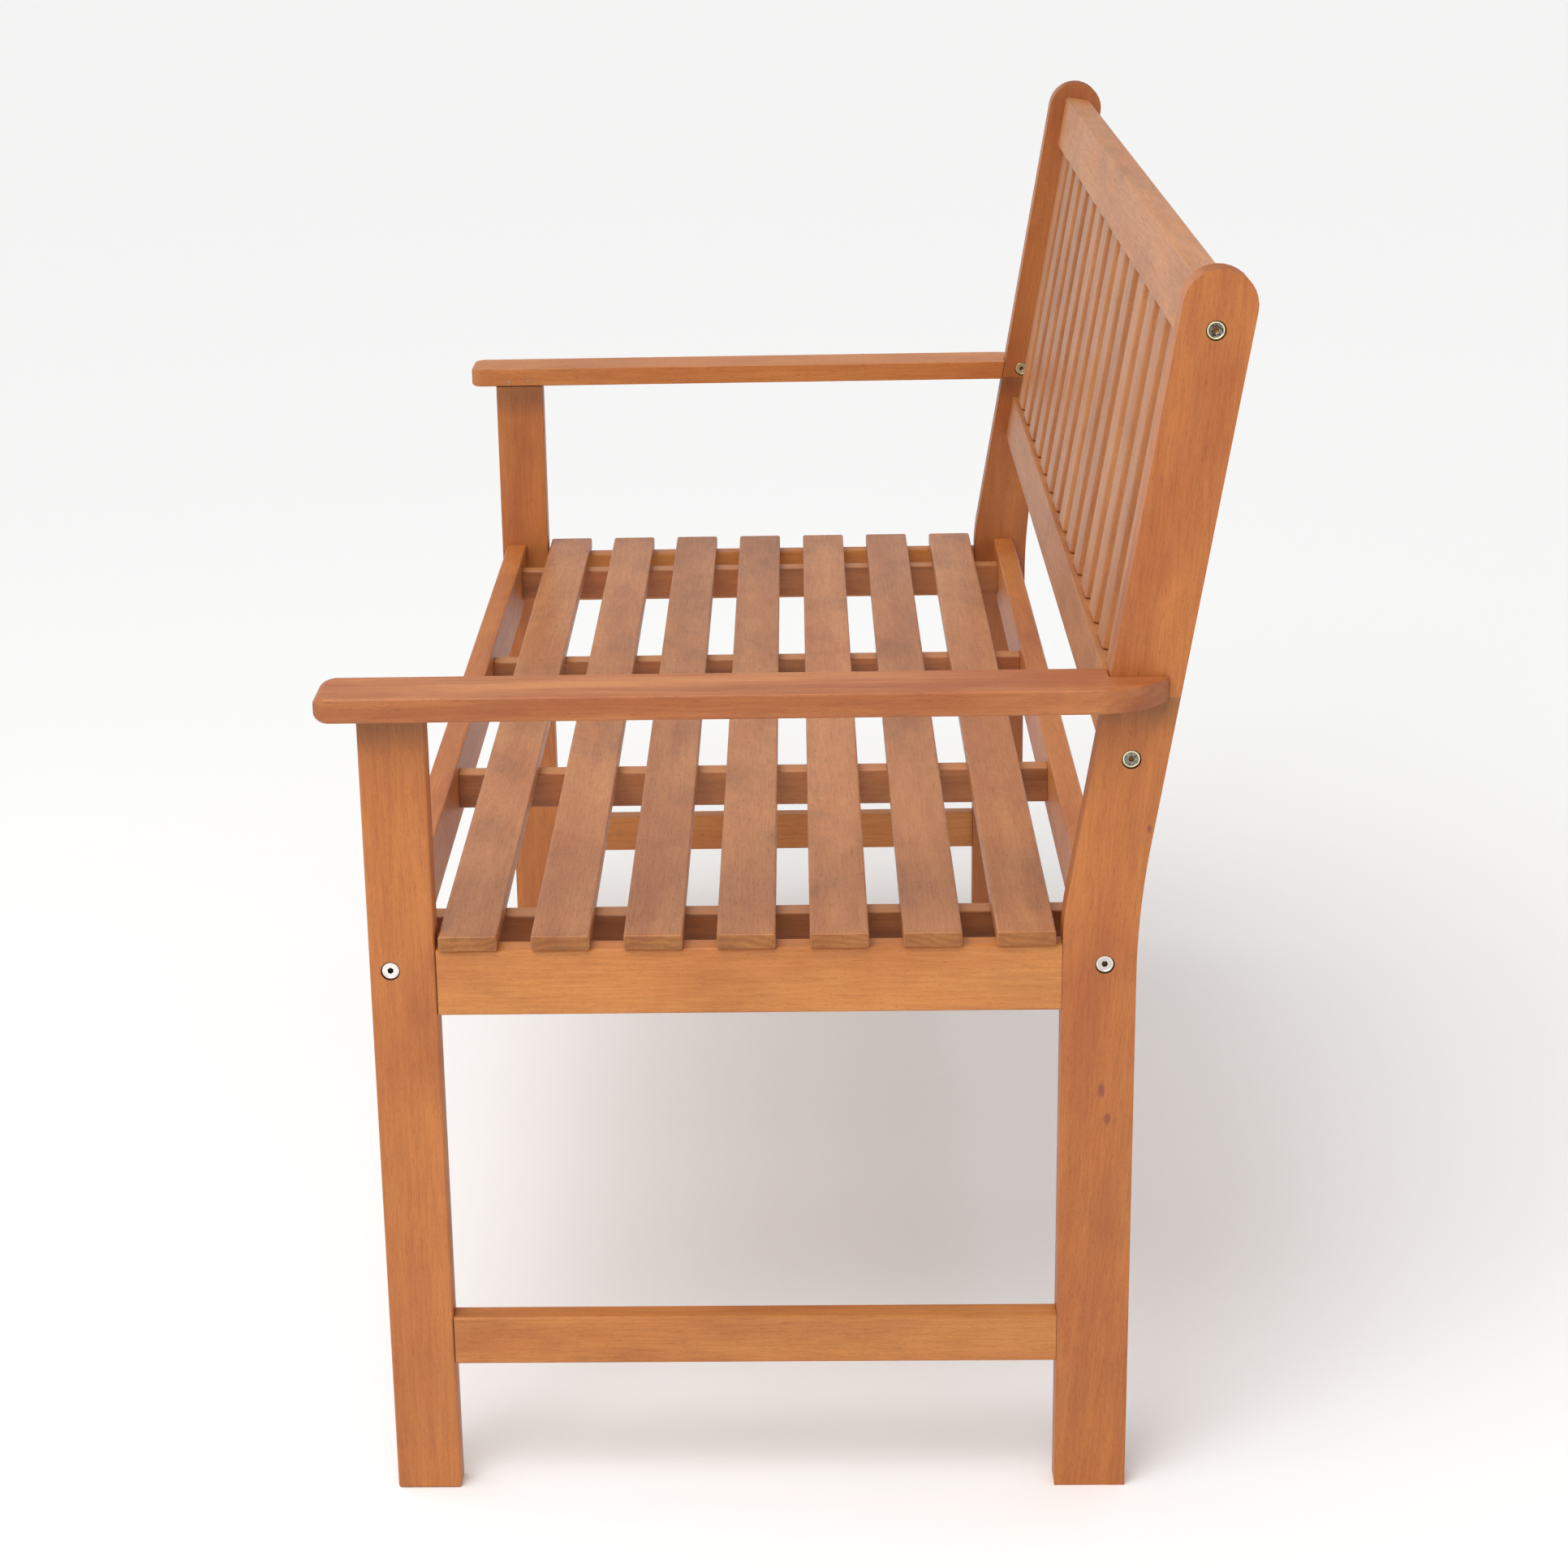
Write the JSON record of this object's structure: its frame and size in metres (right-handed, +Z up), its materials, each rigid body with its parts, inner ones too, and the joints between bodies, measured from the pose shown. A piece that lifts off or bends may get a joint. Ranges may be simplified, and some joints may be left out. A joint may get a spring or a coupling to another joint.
{
  "type": "garden bench",
  "caption": "Two-seat hardwood garden bench with a slatted seat, a raked slatted backrest, flat armrests and a bolted frame.",
  "frame": {"origin": "middle of the bench's footprint, on the floor", "axes": "+X to the right as seen from the front, +Y from the front to the backrest, +Z up"},
  "size_m": [1.2, 0.6268, 0.8899],
  "materials": {
    "leg_wood": "oiled hardwood, satin",
    "rail_wood": "oiled hardwood, satin",
    "arm_wood": "oiled hardwood, satin",
    "seat_slat_wood": "oiled hardwood, satin, open pores",
    "back_slat_wood": "oiled hardwood, satin",
    "bolt_steel": "bright plated steel",
    "nut_zinc": "yellow zinc plating"
  },
  "bodies": {
    "root": {"arm_bolt_left": "bolt_steel", "arm_bolt_right": "bolt_steel", "arm_insert_nut_left": "nut_zinc", "arm_insert_nut_right": "nut_zinc", "armrest_left": "arm_wood", "armrest_right": "arm_wood", "back_bottom_bolt_left": "bolt_steel", "back_bottom_bolt_right": "bolt_steel", "back_bottom_nut_left": "nut_zinc", "back_bottom_nut_right": "nut_zinc", "back_leg_left": "leg_wood", "back_leg_right": "leg_wood", "back_slat_01": "back_slat_wood", "back_slat_02": "back_slat_wood", "back_slat_03": "back_slat_wood", "back_slat_04": "back_slat_wood", "back_slat_05": "back_slat_wood", "back_slat_06": "back_slat_wood", "back_slat_07": "back_slat_wood", "back_slat_08": "back_slat_wood", "back_slat_09": "back_slat_wood", "back_slat_10": "back_slat_wood", "back_slat_11": "back_slat_wood", "back_slat_12": "back_slat_wood", "back_slat_13": "back_slat_wood", "back_slat_14": "back_slat_wood", "back_slat_15": "back_slat_wood", "back_top_bolt_left": "bolt_steel", "back_top_bolt_right": "bolt_steel", "back_top_nut_left": "nut_zinc", "back_top_nut_right": "nut_zinc", "backrest_bottom_rail": "rail_wood", "backrest_top_rail": "rail_wood", "front_leg_left": "leg_wood", "front_leg_right": "leg_wood", "front_rail_bolt_left": "bolt_steel", "front_rail_bolt_right": "bolt_steel", "front_rail_nut_left": "nut_zinc", "front_rail_nut_right": "nut_zinc", "front_seat_rail": "rail_wood", "rear_rail_bolt_left": "bolt_steel", "rear_rail_bolt_right": "bolt_steel", "rear_rail_nut_left": "nut_zinc", "rear_rail_nut_right": "nut_zinc", "rear_seat_rail": "rail_wood", "seat_bearer_1": "rail_wood", "seat_bearer_2": "rail_wood", "seat_bearer_3": "rail_wood", "seat_bearer_4": "rail_wood", "seat_slat_1": "seat_slat_wood", "seat_slat_2": "seat_slat_wood", "seat_slat_3": "seat_slat_wood", "seat_slat_4": "seat_slat_wood", "seat_slat_5": "seat_slat_wood", "seat_slat_6": "seat_slat_wood", "seat_slat_7": "seat_slat_wood", "side_rail_left": "rail_wood", "side_rail_right": "rail_wood", "side_stretcher_left": "rail_wood", "side_stretcher_right": "rail_wood"}
  },
  "joints": []
}
